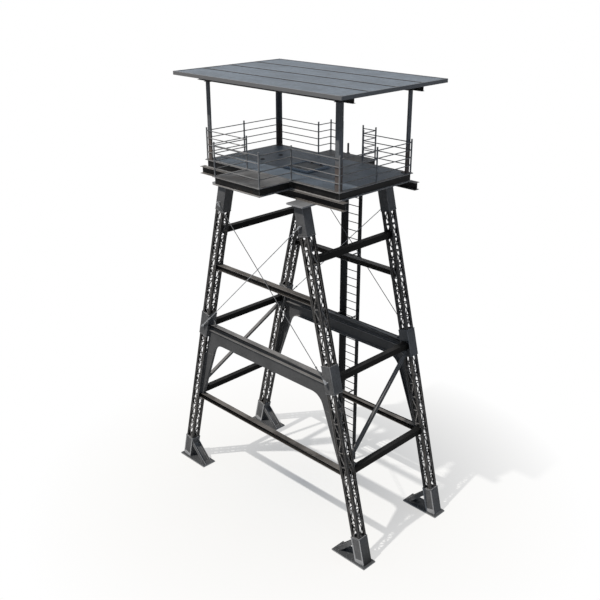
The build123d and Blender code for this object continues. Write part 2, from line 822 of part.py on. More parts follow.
# Roof rim: a plate on edge all round with a flange turned in over the sheets
with BuildPart() as roofRim:
    with BuildSketch(Plane.XY.offset(roofBottomZ)):
        Rectangle(2 * roofHalfX, 2 * roofHalfY)
        Rectangle(2 * (roofHalfX - rimT), 2 * (roofHalfY - rimT), mode=Mode.SUBTRACT)
    extrude(amount=roofDepth)
    with BuildSketch(Plane.XY.offset(roofTopZ - rimFlangeT)):
        Rectangle(2 * roofHalfX, 2 * roofHalfY)
        Rectangle(2 * (roofHalfX - rimFlange), 2 * (roofHalfY - rimFlange), mode=Mode.SUBTRACT)
    extrude(amount=rimFlangeT)
save(roofRim.part, "roof_rim")

# Roof sheets: pans with turned-down edges and ribs that stand on the roof beams
sheetSpan = 2 * (roofHalfY - rimT)
sheetWidth = (sheetSpan - (roofPanels - 1) * seamGap) / roofPanels
sheetDepth = roofDepth - rimFlangeT
ribPitch = (2 * (roofHalfX - rimT) - sheetT) / ribBays
with BuildPart() as roofSheets:
    for index in range(roofPanels):
        sheetY = -sheetSpan / 2 + sheetWidth / 2 + index * (sheetWidth + seamGap)
        with BuildSketch(Plane.XY.offset(roofBottomZ)):
            with Locations((0, sheetY)):
                Rectangle(2 * (roofHalfX - rimT), sheetWidth)
        extrude(amount=sheetDepth)
        with BuildSketch(Plane.XY.offset(roofBottomZ)):
            with Locations((0, sheetY)):
                with GridLocations(ribPitch, 0, ribBays, 1):
                    Rectangle(ribPitch - sheetT, sheetWidth - 2 * sheetT)
        extrude(amount=sheetDepth - sheetT, mode=Mode.SUBTRACT)
save(roofSheets.part, "roof_sheets")

# Ladder: two square tubes up to the deck with a short post on each, and rungs between the tubes
stringerX = ladderHalf - stringerSize / 2
with BuildPart() as stringer:
    with BuildSketch():
        with Locations((stringerX, ladderY)):
            Rectangle(stringerSize, stringerSize)
            Rectangle(stringerSize - 2 * stringerT, stringerSize - 2 * stringerT, mode=Mode.SUBTRACT)
    extrude(amount=deckZ)
with BuildPart() as ladderPost:
    with BuildSketch(Plane.XY.offset(deckZ)):
        with Locations(
            (ladderHalf - ladderPostSize / 2, ladderY + (stringerSize - ladderPostSize) / 2)
        ):
            Rectangle(ladderPostSize, ladderPostSize)
    extrude(amount=ladderRise)
with BuildPart() as rung:
    with BuildSketch(Plane.YZ.offset(-ladderHalf + stringerSize)):
        with Locations((ladderY, rungPitch)):
            RegularPolygon(rungR, 6)
    extrude(amount=2 * (ladderHalf - stringerSize))
ladder = bothSides([stringer.part, ladderPost.part])
for index in range(int((deckZ - rungR) / rungPitch)):
    ladder.append(Pos(0, 0, index * rungPitch) * rung.part)
save(Compound(ladder), "ladder")

# Flat hollow duct up the outer side of the left stringer
with BuildPart() as cableDuct:
    with BuildSketch():
        with Locations((-ladderHalf - ductWidth / 2, ladderY - (stringerSize - ductDepth) / 2)):
            Rectangle(ductWidth, ductDepth)
            Rectangle(ductWidth - 2 * ductT, ductDepth - 2 * ductT, mode=Mode.SUBTRACT)
    extrude(amount=deckBottomZ)
save(cableDuct.part, "cable_duct")

# Arms from the beams of the back frame to the ladder
with BuildPart() as ladderArms:
    armEndY = ladderY - stringerSize / 2
    for beamTopZ in (upperBeamTopZ, portalTopZ, lowerBeamTopZ):
        with BuildSketch(Plane.XY.offset(beamTopZ)):
            with Locations((0, (legY + armEndY) / 2)):
                with GridLocations(2 * ladderHalf - standoffWidth, 0, 2, 1):
                    Rectangle(standoffWidth, armEndY - legY)
        extrude(amount=standoffT)
save(ladderArms.part, "ladder_arms")
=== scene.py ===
import json
from math import atan, cos, pi, radians, sin, tan

import bmesh
import bpy
from mathutils import Matrix, Vector

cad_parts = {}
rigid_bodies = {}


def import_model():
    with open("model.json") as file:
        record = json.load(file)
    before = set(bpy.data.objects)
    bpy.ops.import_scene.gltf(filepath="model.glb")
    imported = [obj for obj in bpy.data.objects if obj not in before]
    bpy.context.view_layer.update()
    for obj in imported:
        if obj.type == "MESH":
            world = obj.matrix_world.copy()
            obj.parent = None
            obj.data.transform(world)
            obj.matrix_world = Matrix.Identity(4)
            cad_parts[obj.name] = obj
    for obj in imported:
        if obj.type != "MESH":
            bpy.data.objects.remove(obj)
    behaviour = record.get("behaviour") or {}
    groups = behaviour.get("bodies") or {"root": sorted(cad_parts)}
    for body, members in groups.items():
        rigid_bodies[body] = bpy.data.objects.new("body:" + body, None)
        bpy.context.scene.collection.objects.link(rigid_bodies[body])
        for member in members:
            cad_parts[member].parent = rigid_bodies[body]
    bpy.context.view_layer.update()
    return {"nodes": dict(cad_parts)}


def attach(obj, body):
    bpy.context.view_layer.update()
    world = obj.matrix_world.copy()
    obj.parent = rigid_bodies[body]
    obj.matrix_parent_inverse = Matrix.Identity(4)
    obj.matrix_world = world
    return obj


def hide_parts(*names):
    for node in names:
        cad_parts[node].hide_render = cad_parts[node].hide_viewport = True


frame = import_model()
nodes = frame["nodes"]
scene = bpy.context.scene
scene.view_settings.view_transform = "Standard"

view = {
    "place": (18.3997, -18.5303, 18.2549),
    "yaw": 45.22,
    "pitch": 22.67,
    "roll": -0.11,
    "lens": 49.75,
    "sensor": 36,
    "far": 400,
}

cameraData = bpy.data.cameras.new("camera")
cameraData.lens = view["lens"]
cameraData.sensor_width = view["sensor"]
cameraData.clip_end = view["far"]
camera = bpy.data.objects.new("camera", cameraData)
turn = Matrix.Rotation(radians(view["yaw"]), 4, "Z")
turn @= Matrix.Rotation(radians(90 - view["pitch"]), 4, "X")
turn @= Matrix.Rotation(radians(view["roll"]), 4, "Z")
camera.matrix_world = Matrix.Translation(view["place"]) @ turn
scene.collection.objects.link(camera)
scene.camera = camera

light = {
    "along": (0.165, 0.575, -1.0),  # the way the light travels
    "strength": 2.6,
    "colour": (1.0, 0.98, 0.95),
    "softness": 1.2,
    "sky": (0.195, 0.25, 0.33),
}

lampData = bpy.data.lights.new("key", "SUN")
lampData.energy = light["strength"]
lampData.color = light["colour"]
lampData.angle = radians(light["softness"])
lamp = bpy.data.objects.new("key", lampData)
lamp.rotation_euler = Vector(light["along"]).to_track_quat("-Z", "Y").to_euler()
scene.collection.objects.link(lamp)


class Wire:
    def __init__(self, graph, socket):
        self.graph = graph
        self.socket = socket

    def maths(self, operation, *values):
        return self.graph.node("Math", {"operation": operation}, values)

    def __add__(self, other):
        return self.maths("ADD", self, other)

    __radd__ = __add__

    def __sub__(self, other):
        return self.maths("SUBTRACT", self, other)

    def __rsub__(self, other):
        return self.maths("SUBTRACT", other, self)

    def __mul__(self, other):
        return self.maths("MULTIPLY", self, other)

    __rmul__ = __mul__

    def __mod__(self, other):
        return self.maths("FLOORED_MODULO", self, other)

    def __lt__(self, other):
        return self.maths("LESS_THAN", self, other)

    def __abs__(self):
        return self.maths("ABSOLUTE", self)


class Graph:
    def __init__(self, owner):
        owner.use_nodes = True
        self.owner = owner
        self.tree = owner.node_tree
        self.tree.nodes.clear()

    def node(self, kind, settings, inputs, output=0):
        made = self.tree.nodes.new("ShaderNode" + kind)
        for key, value in settings.items():
            setattr(made, key, value)
        pairs = inputs.items() if isinstance(inputs, dict) else enumerate(inputs)
        for key, value in pairs:
            if isinstance(value, Wire):
                self.tree.links.new(value.socket, made.inputs[key])
            elif made.inputs[key].type == "RGBA":
                made.inputs[key].default_value = (*value, 1)
            else:
                made.inputs[key].default_value = value
        return Wire(self, made.outputs[output]) if made.outputs else None

    def place(self):
        return self.node("TexCoord", {}, {}, "Object")

    def stretched(self, place, scale):
        return self.node("Mapping", {}, {"Vector": place, "Scale": scale})

    def noise(self, place, scale, detail=4.0, rough=0.55):
        inputs = {"Vector": place, "Scale": scale, "Detail": detail, "Roughness": rough}
        return self.node("TexNoise", {}, inputs)

    def mix(self, factor, first, second):
        return self.node("Mix", {"data_type": "RGBA"}, {0: factor, 6: first, 7: second}, 2)

    def ramp(self, value, low, high, way="SMOOTHSTEP"):
        # 0 at low, 1 at high
        inputs = {"Value": value, "From Min": low, "From Max": high}
        return self.node("MapRange", {"interpolation_type": way}, inputs)

    def part(self, vector, axis):
        return self.node("SeparateXYZ", {}, [vector], axis)

    def upward(self):
        # 1 on what faces the sky
        return self.ramp(self.part(self.node("NewGeometry", {}, {}, "Normal"), 2), 0.55, 0.9)

    def attribute(self, name):
        return self.node("Attribute", {"attribute_name": name}, {}, "Fac")

    def bump(self, height, strength, distance=0.003):
        inputs = {"Height": height, "Strength": strength, "Distance": distance}
        return self.node("Bump", {}, inputs)

    def finish(self, inputs):
        shader = self.node("BsdfPrincipled", {}, inputs)
        self.node("OutputMaterial", {}, {"Surface": shader})
        return self.owner


def grey(level, warm=0.0):
    # a near-grey colour by the level that the eye sees, browner above zero and bluer below
    return tuple(value ** 2.2 for value in (level * (1 + warm), level, level * (1 - warm)))


# Each paint's patterns have a scale, a detail and often a roughness under "noise".
# Under "range" stand the values where a pattern sets in and where it is full.

def steelPaint(name, look):
    graph = Graph(bpy.data.materials.new(name))
    noise, span = look["noise"], look["range"]
    place = graph.place()
    broad = graph.noise(place, *noise["broad"])
    fine = graph.noise(place, *noise["fine"])
    grain = graph.noise(place, *noise["grain"])
    drips = graph.noise(graph.stretched(place, look["dripStretch"]), *noise["drips"])
    upward = graph.upward()
    wearAndHighlight = graph.attribute("wearAndHighlight")

    tone = graph.ramp(broad * 0.6 + fine * 0.4, *span["tone"])
    colour = graph.mix(tone, look["dark"], look["colour"])
    colour = graph.mix(graph.ramp(drips, *span["drips"]) * look["grime"], colour, look["dark"])

    # rust comes through in patches, most of all on upward faces and beside the edges
    patch = graph.noise(place, *noise["patch"]) + wearAndHighlight * 0.05 + upward * 0.06
    rustFrom, rustTo = 0.62 - look["rust"] * 0.12, 0.72 - look["rust"] * 0.08
    rust = graph.ramp(patch, rustFrom, rustTo) * look["rust"]
    colour = graph.mix(rust, colour, graph.mix(fine, look["rustDark"], look["rustPale"]))

    # dust lies on what faces up
    dust = upward * (0.45 + 0.55 * graph.ramp(broad, *span["dust"])) * look["dust"]
    colour = graph.mix(dust, colour, look["dustColour"])

    # painted shade on the faces inside the leg lattices, and a darker colour on the bottom
    # flanges and other parts below a set height
    colour = graph.mix(graph.attribute("low") * look["low"], colour, look["innerShadeAndLowColour"])

    # scuffs, and a pale line along the edges that is partly worn paint and partly a painted
    # highlight
    rubbedAndHighlit = graph.ramp(wearAndHighlight + (fine - 0.5) * 1.3, *span["rubbedAndHighlit"]) * look["rubAndHighlight"]
    colour = graph.mix(rubbedAndHighlit, colour, look["pale"])
    scuff = graph.ramp(graph.noise(place, *noise["scuff"]), *span["scuff"]) * look["scuff"]
    colour = graph.mix(scuff, colour, look["pale"])
    if look["stainTop"]:
        stainZ = graph.part(place, 2) + (broad - 0.5) * 0.5
        above = graph.ramp(stainZ, look["stainTop"] - 0.3, look["stainTop"])
        stain = (1 - above) * (0.45 + 0.55 * tone)
        colour = graph.mix(stain * 0.75, colour, look["rustPale"])

    height = grain * 0.25 + fine * 0.5 + rust * graph.noise(place, *noise["pits"]) * 0.9
    return graph.finish({
        "Base Color": colour,
        "Roughness": look["rough"] + (fine - 0.5) * 0.18 + rust * 0.2 - rubbedAndHighlit * 0.08,
        "Metallic": look["metal"],
        "Specular IOR Level": look["shine"],
        "Normal": graph.bump(height, look["bump"]),
    })


plain = {
    "colour": grey(0.33),
    "dark": grey(0.24),
    "pale": grey(0.47),
    "rustDark": (0.045, 0.028, 0.020),
    "rustPale": (0.13, 0.085, 0.06),
    "dustColour": grey(0.45, 0.02),
    "innerShadeAndLowColour": grey(0.17, 0.08),
    "grime": 0.5,
    "rubAndHighlight": 0.6,
    "scuff": 0.3,
    "rust": 0.15,
    "dust": 0.35,
    "low": 0.0,
    "stainTop": 0.0,  # height up to which a brown stain reaches, 0 for none
    "rough": 0.58,
    "metal": 0.1,
    "shine": 0.12,
    "bump": 0.35,
    "dripStretch": (9, 9, 0.7),
    "noise": {
        "broad": (1.1, 5),
        "fine": (16.0, 6, 0.6),
        "grain": (140.0, 3),
        "drips": (1.6, 5, 0.6),
        "patch": (3.2, 8, 0.65),
        "scuff": (7.0, 8, 0.7),
        "pits": (60.0, 4),
    },
    "range": {
        "tone": (0.36, 0.62),
        "drips": (0.52, 0.72),
        "dust": (0.35, 0.65),
        "rubbedAndHighlit": (0.55, 0.95),
        "scuff": (0.63, 0.70),
    },
}

looks = {
    # the lattice's low colour is painted shade on the faces inside the legs
    "lattice_steel": {
        "colour": grey(0.31, 0.04), "dark": grey(0.22, 0.02), "pale": grey(0.58, 0.03),
        "rubAndHighlight": 0.95, "rust": 0.25, "low": 0.9, "innerShadeAndLowColour": grey(0.10),
    },
    "casing_steel": {
        "colour": grey(0.445, 0.01), "dark": grey(0.36, 0.01), "pale": grey(0.66, 0.01),
        "rubAndHighlight": 0.9, "dust": 0.95, "dustColour": grey(0.54), "low": 0.8, "innerShadeAndLowColour": grey(0.26),
    },
    "panel_steel": {
        "colour": grey(0.39, 0.012), "dark": grey(0.33, 0.01), "pale": grey(0.58, 0.02),
        "rubAndHighlight": 0.85, "dust": 0.9, "dustColour": grey(0.53, 0.03),
    },
    # the beams' dark colour on their webs and sides is partly painted shade under the flanges;
    # the pale colour on their tops is dust
    "beam_steel": {
        "colour": grey(0.16, 0.02), "dark": grey(0.10), "pale": grey(0.54, 0.04),
        "rubAndHighlight": 0.85, "dust": 0.9, "dustColour": grey(0.46, 0.05), "rust": 0.35, "low": 0.85,
    },
    "strut_steel": {
        "colour": grey(0.09), "dark": grey(0.06), "pale": grey(0.16),
        "dust": 0.1, "rust": 0.05, "scuff": 0.1, "metal": 0.0, "shine": 0.06,
    },
    "rod_steel": {
        "colour": grey(0.46), "dark": grey(0.38), "pale": grey(0.72),
        "rubAndHighlight": 0.9, "metal": 0.2,
    },
    # the deck frame's dark colour on its webs and sides is partly painted shade under the
    # flanges; the pale colour on upward faces is dust
    "deck_steel": {
        "colour": grey(0.18, 0.01), "dark": grey(0.11), "pale": grey(0.60, 0.03),
        "rubAndHighlight": 0.95, "dust": 0.85, "dustColour": grey(0.465, 0.01), "rust": 0.35,
    },
    "column_steel": {
        "colour": grey(0.50, -0.01), "dark": grey(0.40), "rust": 0.3, "stainTop": 12.95,
    },
    "ladder_steel": {
        "colour": grey(0.19, -0.03), "dark": grey(0.13), "pale": grey(0.34),
        "rubAndHighlight": 0.4, "shine": 0.08,
    },
    "rail_steel": {
        "colour": grey(0.58, 0.02), "dark": grey(0.44), "pale": grey(0.66),
        "rubAndHighlight": 0.5, "rust": 0.25,
    },
}
paints = {slot: steelPaint(slot, {**plain, **look}) for slot, look in looks.items()}

roofLook = {
    "colour": grey(0.485, -0.075),
    "dark": grey(0.40, -0.08),
    "pale": grey(0.60, -0.02),
    "front": grey(0.52, 0.035),
    "dull": grey(0.33, -0.06),
    "brown": grey(0.14, 0.16),
    "stain": grey(0.40, 0.05),
    "rough": 0.5,
    "metal": 0.05,
    "shine": 0.12,
    "bump": 0.3,
    "seam": 1.166,  # the seams run along X this far apart, with one at y = 0
    "seamHalf": 0.034,
    "edge": (3.564, 2.272),  # where the sheets meet the rim
    "edgeHalf": 0.035,
    "ragged": 0.012,
    "streakStretch": (0.8, 7, 7),
    "noise": {
        "broad": (0.9, 5),
        "fine": (18.0, 6, 0.6),
        "streaks": (1.4, 6, 0.6),
        "speckle": (8.0, 4, 0.8),
        "stain": (2.6, 8, 0.7),
    },
    "range": {
        "tone": (0.38, 0.60),
        "speckle": (0.42, 0.60),
        "stain": (0.58, 0.70),
        "rubbedAndHighlit": (0.55, 0.95),
        "glintStart": (0.02, 0.05),  # distances behind each seam
        "glintEnd": (0.10, 0.15),
    },
}


def roofPaint(name, look):
    graph = Graph(bpy.data.materials.new(name))
    noise, span = look["noise"], look["range"]
    place = graph.place()
    alongX, alongY = graph.part(place, 0), graph.part(place, 1)
    broad = graph.noise(place, *noise["broad"])
    fine = graph.noise(place, *noise["fine"])
    streaks = graph.noise(graph.stretched(place, look["streakStretch"]), *noise["streaks"])
    upward = graph.upward()
    tone = graph.ramp(broad * 0.4 + streaks * 0.35 + fine * 0.25, *span["tone"])
    colour = graph.mix(tone, look["dark"], look["colour"])
    speckle = graph.ramp(graph.noise(place, *noise["speckle"]), *span["speckle"])
    colour = graph.mix(speckle * 0.45, colour, look["dull"])
    stain = graph.ramp(graph.noise(place, *noise["stain"]), *span["stain"]) * 0.45
    colour = graph.mix(stain, colour, look["stain"])
    colour = graph.mix((1 - upward) * 0.8, colour, look["front"])
    # a pale line along the edges, partly worn paint and partly a painted highlight
    rubbedAndHighlit = graph.ramp(graph.attribute("wearAndHighlight") + (fine - 0.5) * 1.2, *span["rubbedAndHighlit"]) * 0.55
    colour = graph.mix(rubbedAndHighlit, colour, look["pale"])

    # a pale glint behind each seam
    half = look["seam"] / 2
    offSeam = (alongY + half) % look["seam"] - half
    glintEnd = 1 - graph.ramp(offSeam, *span["glintEnd"])
    glint = graph.ramp(offSeam, *span["glintStart"]) * glintEnd
    colour = graph.mix(glint * 0.35 * upward, colour, look["pale"])

    # brown lines in the seams and where the sheets meet the rim, ragged at their edges
    ragged = (fine - 0.5) * look["ragged"]
    seam = 1 - graph.ramp(abs(offSeam) + ragged, look["seamHalf"] * 0.7, look["seamHalf"])
    lines = seam * (abs(alongY) < look["edge"][1])
    for line, edge in zip((alongX, alongY), look["edge"]):
        fromEdge = abs(abs(line) - edge) + ragged
        off = graph.ramp(fromEdge, look["edgeHalf"] * 0.6, look["edgeHalf"])
        lines = lines + (1 - off) * 0.7
    colour = graph.mix(graph.ramp(lines, 0.0, 1.0) * upward, colour, look["brown"])

    return graph.finish({
        "Base Color": colour,
        "Roughness": look["rough"] + (fine - 0.5) * 0.2 + stain * 0.2,
        "Metallic": look["metal"],
        "Specular IOR Level": look["shine"],
        "Normal": graph.bump(fine * 0.5 + streaks * 0.3, look["bump"]),
    })


paints["roof_paint"] = roofPaint("roof_paint", roofLook)

# floor plates: raised tread lines, joints between the plates, and pale edges that are partly
# rubbed paint and partly a painted highlight
plateLook = {
    "colour": grey(0.43, -0.105),
    "dark": grey(0.33, -0.11),
    "pale": grey(0.56, -0.04),
    "rubbedAndHighlit": grey(0.68, -0.05),
    "stain": grey(0.34, -0.10),
    "gap": grey(0.15, 0.05),
    "rough": 0.52,
    "metal": 0.15,
    "shine": 0.12,
    "bump": 0.5,
    "long": 1.50,  # along X
    "wide": 0.84,  # along Y
    "shift": 20.0,  # moves the joints and treads off the middle of the deck
    "joint": 0.012,
    "tread": 0.045,
    "ridge": (0.6, 0.8),  # where a raised line begins and is full, of the tread's pitch
    "noise": {
        "broad": (1.3, 5),
        "fine": (20.0, 5, 0.6),
        "speckle": (12.0, 4, 0.8),
        "stain": (4.0, 8, 0.7),
    },
    "range": {
        "tone": (0.38, 0.60),
        "speckle": (0.42, 0.60),
        "stain": (0.56, 0.70),
        "rubbedAndHighlit": (0.50, 0.90),
    },
}


def platePaint(name, look):
    graph = Graph(bpy.data.materials.new(name))
    noise, span, shift = look["noise"], look["range"], look["shift"]
    place = graph.place()
    alongX, alongY = graph.part(place, 0), graph.part(place, 1)
    broad = graph.noise(place, *noise["broad"])
    fine = graph.noise(place, *noise["fine"])
    gapX = (alongX + shift) % look["long"] < look["joint"]
    gapY = (alongY + shift) % look["wide"] < look["joint"]
    joint = graph.ramp(gapX + gapY, 0.0, 1.0)
    ridgeFrom, ridgeTo = (share * look["tread"] for share in look["ridge"])
    ridges = [
        graph.ramp((slanted + shift) % look["tread"], ridgeFrom, ridgeTo)
        for slanted in (alongX + alongY, alongX - alongY)
    ]
    tread = ridges[0] * ridges[1]

    tone = graph.ramp(broad * 0.6 + fine * 0.4, *span["tone"])
    colour = graph.mix(tone, look["dark"], look["colour"])
    colour = graph.mix(tread * 0.35, colour, look["pale"])
    speckle = graph.ramp(graph.noise(place, *noise["speckle"]), *span["speckle"])
    colour = graph.mix(speckle * 0.4, colour, look["stain"])
    stain = graph.ramp(graph.noise(place, *noise["stain"]), *span["stain"]) * 0.6
    colour = graph.mix(stain, colour, look["stain"])
    colour = graph.mix(joint * 0.85, colour, look["gap"])
    colour = graph.mix(graph.attribute("low") * 0.55, colour, look["gap"])
    # pale edges, partly rubbed paint and partly a painted highlight on the curb and plate edges
    rubbedAndHighlit = graph.ramp(graph.attribute("wearAndHighlight") + (fine - 0.5) * 0.8, *span["rubbedAndHighlit"]) * 0.8
    colour = graph.mix(rubbedAndHighlit, colour, look["rubbedAndHighlit"])
    return graph.finish({
        "Base Color": colour,
        "Roughness": look["rough"] + (fine - 0.5) * 0.2 + stain * 0.15,
        "Metallic": look["metal"],
        "Specular IOR Level": look["shine"],
        "Normal": graph.bump(tread * 0.8 + fine * 0.2 - joint, look["bump"]),
    })


paints["floor_plate"] = platePaint("floor_plate", plateLook)
print("paints made:", len(paints))


def meshData(mesh, name):
    data = bpy.data.meshes.new(name)
    mesh.to_mesh(data)
    mesh.free()
    return data


floor = {
    "reach": 90.0,
    "sides": 96,
    "colour": (0.99, 0.98, 0.955),
    "warm": (1.0, 0.955, 0.89),  # of the glow near the tower, which evens out the blue of the sky
    "near": 0.28,  # share of the glow under the tower
    "gone": 10.2,  # distance from the middle where the floor is all white
}

ground = bmesh.new()
bmesh.ops.create_circle(ground, cap_ends=True, segments=floor["sides"], radius=floor["reach"])
groundData = meshData(ground, "floor")
groundObject = bpy.data.objects.new("floor", groundData)
scene.collection.objects.link(groundObject)


def backdropRays(graph):
    # 1 for the rays that see the white background: from the camera, and in reflections
    kinds = ("Camera", "Glossy", "Transmission")
    rays = [graph.node("LightPath", {}, {}, f"Is {kind} Ray") for kind in kinds]
    return rays[0] + rays[1] + rays[2]


# shadows are darkest under the tower and fade into white away from it
whiteFloor = Graph(bpy.data.materials.new("whiteFloor"))
matt = whiteFloor.node("BsdfDiffuse", {}, {"Color": floor["colour"]})
middle = whiteFloor.node("VectorMath", {"operation": "LENGTH"}, [whiteFloor.place()], "Value")
away = whiteFloor.ramp(middle, 0.0, floor["gone"], "LINEAR")
glowColour = whiteFloor.mix(away, floor["warm"], (1.0, 1.0, 1.0))
glowInputs = {"Color": glowColour, "Strength": backdropRays(whiteFloor)}
glow = whiteFloor.node("Emission", {}, glowInputs)
share = floor["near"] + (1 - floor["near"]) * away
floorSurface = whiteFloor.node("MixShader", {}, [share, matt, glow])
whiteFloor.node("OutputMaterial", {}, {"Surface": floorSurface})
groundData.materials.append(whiteFloor.owner)

scene.world = bpy.data.worlds.new("studio")
sky = Graph(scene.world)
plainSky = sky.node("Background", {}, {"Color": light["sky"], "Strength": 1.0})
whiteSky = sky.node("Background", {}, {"Color": (1.0, 1.0, 1.0), "Strength": 1.0})
bothSkies = sky.node("MixShader", {}, [backdropRays(sky), plainSky, whiteSky])
sky.node("OutputWorld", {}, {"Surface": bothSkies})
print("studio ready")

leg = {
    "footX": 4.530,
    "topX": 1.710,
    "topZ": 11.450,
    "y": 1.885,
    "half": 0.170,
    "inner": 0.03,  # a face that looks back at the leg's middle from beyond this is an inner face
}
lean = atan((leg["footX"] - leg["topX"]) / leg["topZ"])
deckTop = 12.0


def legX(z):
    return leg["footX"] - z * tan(lean)


def mergedCopy(node):
    mesh = bmesh.new()
    mesh.from_mesh(nodes[node].data)
    for layer in list(mesh.loops.layers.uv):
        mesh.loops.layers.uv.remove(layer)
    bmesh.ops.remove_doubles(mesh, verts=mesh.verts, dist=0.00003)
    bmesh.ops.dissolve_limit(mesh, angle_limit=radians(0.5), verts=mesh.verts, edges=mesh.edges)
    return mesh


def edgesOf(verts):
    return list(dict.fromkeys(edge for vertex in verts for edge in vertex.link_edges))


def bevelEdges(mesh, edges, width, segments=1):
    bmesh.ops.bevel(
        mesh, geom=edges, offset=width, segments=segments, affect="EDGES",
        profile=0.5, material=-1, clamp_overlap=True, loop_slide=True,
    )


def softenEdges(mesh, width):
    sharp = radians(30)
    edges = [edge for edge in mesh.edges if len(edge.link_faces) == 2]
    bevelEdges(mesh, [edge for edge in edges if edge.calc_face_angle(0) > sharp], width)


def flatAreas(mesh, limit):
    # groups of faces that lie in one plane or one gentle curve
    seen = set()
    for first in mesh.faces:
        if first in seen:
            continue
        seen.add(first)
        group, waiting = [], [first]
        while waiting:
            face = waiting.pop()
            group.append(face)
            for edge in face.edges:
                for other in edge.link_faces:
                    if other not in seen and edge.calc_face_angle(pi) < limit:
                        seen.add(other)
                        waiting.append(other)
        yield group


wearAndHighlightRule = {
    "bend": 14,  # degrees that still count as one broad face
    "openings": 30,  # a pierced face has more rim edges than this
    "thin": 0.8,  # a face that takes less than this share of the width gets the pale edge mark of worn paint and painted highlight all over
}


def setWearAndHighlight(group, layer, value):
    for face in group:
        for vertex in face.verts:
            vertex[layer] = value


def markWearAndHighlight(mesh, width, pierced=None):
    # the edge mark stands for worn paint and a painted highlight: it is 1 on every edge and falls
    # to 0 at this width inside each broad face;
    # a broad face full of openings gets the pierced value all over, where one is given
    layer = mesh.verts.layers.float.new("wearAndHighlight")
    for vertex in mesh.verts:
        vertex[layer] = 1.0
    for group in list(flatAreas(mesh, radians(wearAndHighlightRule["bend"]))):
        area = sum(face.calc_area() for face in group)
        inside = set(group)
        edges = dict.fromkeys(edge for face in group for edge in face.edges)
        outline = [edge for edge in edges if not inside.issuperset(edge.link_faces)]
        rim = sum(edge.calc_length() for edge in outline)
        depth = min(width, 0.5 * area / max(rim, 0.001))
        if pierced is not None and len(outline) > wearAndHighlightRule["openings"]:
            setWearAndHighlight(group, layer, pierced)
        elif depth >= wearAndHighlightRule["thin"] * width:
            bmesh.ops.inset_region(
                mesh, faces=group, thickness=depth, depth=0,
                use_even_offset=False, use_boundary=True,
            )
            setWearAndHighlight(group, layer, 0.0)


def markLow(mesh, top):
    # the low value is 1 below this height
    layer = mesh.verts.layers.float.new("low")
    for vertex in mesh.verts:
        vertex[layer] = 1.0 if vertex.co.z < top else 0.0


def markInnerShade(mesh):
    # painted shade: on the legs the low value is 1 on what faces the inside of the lattice, away
    # from the pale edges, which paints those faces dark as if shaded
    low = mesh.verts.layers.float.new("low")
    wearAndHighlight = mesh.verts.layers.float["wearAndHighlight"]
    for face in mesh.faces:
        place, normal = face.calc_center_median(), face.normal
        outX = normal.x * (1 if place.x > 0 else -1) * cos(lean) + normal.z * sin(lean)
        outY = normal.y * (1 if place.y > 0 else -1)
        offX = (abs(place.x) - legX(place.z)) * cos(lean)
        offY = abs(place.y) - leg["y"]
        facing = outX * offX if abs(outX) > abs(outY) else outY * offY
        awayFromEdgeMark = all(vertex[wearAndHighlight] < 0.9 for vertex in face.verts)
        if facing < -leg["inner"] and awayFromEdgeMark:
            for vertex in face.verts:
                vertex[low] = 1.0


def addPiece(mesh, name, paint, replaced=()):
    data = meshData(mesh, name)
    data.materials.append(paints[paint])
    data.shade_smooth()
    data.set_sharp_from_angle(angle=radians(35))
    piece = bpy.data.objects.new(name, data)
    scene.collection.objects.link(piece)
    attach(piece, "root")
    if replaced:
        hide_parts(*replaced)


def block(mesh, size, x, y, bottom, soft=0.0015):
    # a block with softened edges that stands on this height
    place = Matrix.Translation((x, y, bottom + size[2] / 2))
    made = bmesh.ops.create_cube(mesh, size=1, matrix=place @ Matrix.Diagonal((*size, 1)))
    bevelEdges(mesh, edgesOf(made["verts"]), soft)


def bar(mesh, start, end, radius, sides=12, tip=None):
    # a round bar, or a cone where the tip has its own radius
    start, end = Vector(start), Vector(end)
    turned = (end - start).to_track_quat("Z", "Y").to_matrix().to_4x4()
    bmesh.ops.create_cone(
        mesh, cap_ends=True, segments=sides, radius1=radius,
        radius2=radius if tip is None else tip, depth=(end - start).length,
        matrix=Matrix.Translation((start + end) / 2) @ turned,
    )


def collar(mesh, start, way, size):
    # the weld where a bar meets what holds it
    length, wide, narrow = size
    bar(mesh, start, start + way * length, wide, 12, narrow)


def stamp(mesh, template, matrix):
    # adds a copy of the template, turned right side out where the matrix mirrors it
    oldVerts, oldFaces = set(mesh.verts), set(mesh.faces)
    mesh.from_mesh(template)
    added = [vertex for vertex in mesh.verts if vertex not in oldVerts]
    bmesh.ops.transform(mesh, matrix=matrix, verts=added)
    if matrix.determinant() < 0:
        faces = [face for face in mesh.faces if face not in oldFaces]
        bmesh.ops.reverse_faces(mesh, faces=faces)


def fourCorners(mesh):
    # the front right corner's pieces, with their mirror images at the other three
    corner = meshData(mesh, "corner")
    whole = bmesh.new()
    for signX, signY in ((1, 1), (-1, 1), (1, -1), (-1, -1)):
        stamp(whole, corner, Matrix.Diagonal((signX, signY, 1, 1)))
    bpy.data.meshes.remove(corner)
    return whole


def fastenerTemplate(name, nut, stud=0.0):
    # washer, chamfered hexagon nut and the end of the stud, upright on z = 0
    mesh = bmesh.new()
    washer, top = 0.18 * nut, 0.98 * nut
    chamfer = 0.82 * top
    bar(mesh, (0, 0, 0), (0, 0, washer), 1.3 * nut, 14)
    bar(mesh, (0, 0, washer), (0, 0, chamfer), nut, 6)
    bar(mesh, (0, 0, chamfer), (0, 0, top), nut, 6, 0.84 * nut)
    if stud:
        bar(mesh, (0, 0, top), (0, 0, top + stud), 0.55 * nut, 10, 0.48 * nut)
    return meshData(mesh, name)


